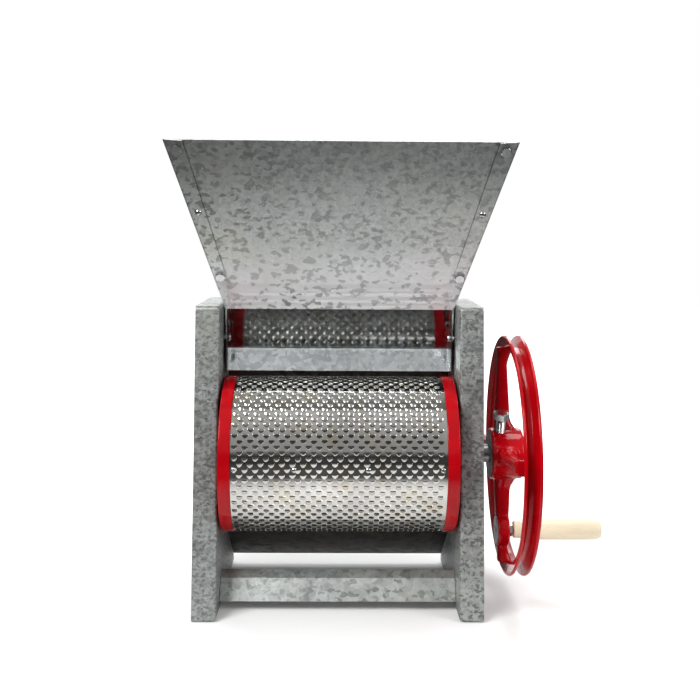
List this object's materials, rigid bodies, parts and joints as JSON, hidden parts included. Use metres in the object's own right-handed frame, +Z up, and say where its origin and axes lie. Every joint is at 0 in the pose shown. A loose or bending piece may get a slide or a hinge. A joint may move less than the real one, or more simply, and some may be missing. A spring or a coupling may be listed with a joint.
{
  "type": "hand-cranked drum fruit pulper",
  "caption": "Bench pulper with a folded sheet hopper over a punched drum between two pressed side frames, turned by a spoked pulley hand wheel with a wooden crank grip.",
  "frame": {"origin": "centre of the overall box, at the underside of the two foot flanges", "axes": "+Z up; +X along the drum shaft towards the hand wheel; -Y towards the side where the drum is open to view"},
  "size_m": [0.4642, 0.3118, 0.4975],
  "materials": {
    "galvanised": "dull zinc-coated sheet",
    "bright_galvanised": "bright zinc-coated sheet",
    "red_enamel": "glossy red enamel on cast iron",
    "turned_steel": "turned, lightly oiled",
    "punched_skin": "bright punched sheet with a warm tint",
    "cast_iron": "grey, as cast",
    "zinc_plated": "bright zinc plate",
    "beech": "pale turned beech, varnished",
    "core_wood": "plain hardwood"
  },
  "bodies": {
    "frame": {"adjuster_bar": "turned_steel", "bean_chute": "bright_galvanised", "bearing_left": "cast_iron", "bearing_right": "cast_iron", "bearing_screw_left_1": "zinc_plated", "bearing_screw_left_2": "zinc_plated", "bearing_screw_right_1": "zinc_plated", "bearing_screw_right_2": "zinc_plated", "front_cross_plate": "bright_galvanised", "guide_plate": "bright_galvanised", "guide_screw_left": "zinc_plated", "guide_screw_right": "zinc_plated", "hopper_bolt_front_1": "zinc_plated", "hopper_bolt_front_2": "zinc_plated", "hopper_bolt_front_3": "zinc_plated", "hopper_bolt_front_4": "zinc_plated", "hopper_bolt_rear_1": "zinc_plated", "hopper_bolt_rear_2": "zinc_plated", "hopper_bolt_rear_3": "zinc_plated", "hopper_bolt_rear_4": "zinc_plated", "hopper_front": "galvanised", "hopper_rear": "galvanised", "hopper_rivet_front_1": "zinc_plated", "hopper_rivet_front_2": "zinc_plated", "hopper_rivet_rear_1": "zinc_plated", "hopper_rivet_rear_2": "zinc_plated", "hopper_side_left": "galvanised", "hopper_side_right": "galvanised", "rear_throat_plate": "bright_galvanised", "side_frame_left": "galvanised", "side_frame_right": "galvanised", "skirt_rivet_left": "zinc_plated", "skirt_rivet_right": "zinc_plated"},
    "rotor": {"crank_bolt": "zinc_plated", "crank_nut": "zinc_plated", "drive_shaft": "turned_steel", "drum_core": "core_wood", "drum_end_left": "red_enamel", "drum_end_right": "red_enamel", "drum_key_left": "turned_steel", "drum_key_right": "turned_steel", "drum_skin": "punched_skin", "hand_wheel": "red_enamel", "seam_screw_1": "zinc_plated", "seam_screw_2": "zinc_plated", "seam_screw_3": "zinc_plated", "seam_screw_4": "zinc_plated", "shaft_collar": "turned_steel", "shaft_collar_screw": "zinc_plated", "wheel_key": "turned_steel", "wheel_set_bolt": "zinc_plated"},
    "grip": {"crank_grip": "beech"},
    "breast": {"breast_plate": "cast_iron"},
    "adjuster_left": {"adjuster_screw_left": "zinc_plated", "adjuster_collar_left": "turned_steel"},
    "adjuster_right": {"adjuster_screw_right": "zinc_plated", "adjuster_collar_right": "turned_steel"}
  },
  "joints": [
    {"name": "drum_turn", "type": "hinge", "parent": "frame", "child": "rotor", "pos_m": [-0.0564, -0.02592, 0.1642], "axis": [1, 0, 0], "continuous": true},
    {"name": "grip_spin", "type": "hinge", "parent": "rotor", "child": "grip", "pos_m": [0.1359, -0.03317, 0.08132], "axis": [1, 0, 0], "continuous": true},
    {"name": "breast_slide", "type": "slide", "parent": "frame", "child": "breast", "axis": [0, 1, 0], "range_m": [-0.001, 0.004]},
    {"name": "adjuster_turn_left", "type": "hinge", "parent": "frame", "child": "adjuster_left", "pos_m": [-0.1364, 0.07408, 0.1642], "axis": [0, -1, 0], "range_deg": [-290, 1155]},
    {"name": "adjuster_turn_right", "type": "hinge", "parent": "frame", "child": "adjuster_right", "pos_m": [0.0236, 0.07408, 0.1642], "axis": [0, -1, 0], "range_deg": [-290, 1155]}
  ],
  "couplings": [
    {"joint": "adjuster_turn_left", "follows": "breast_slide", "rad_per_m": 5026.5},
    {"joint": "adjuster_turn_right", "follows": "breast_slide", "rad_per_m": 5026.5}
  ]
}
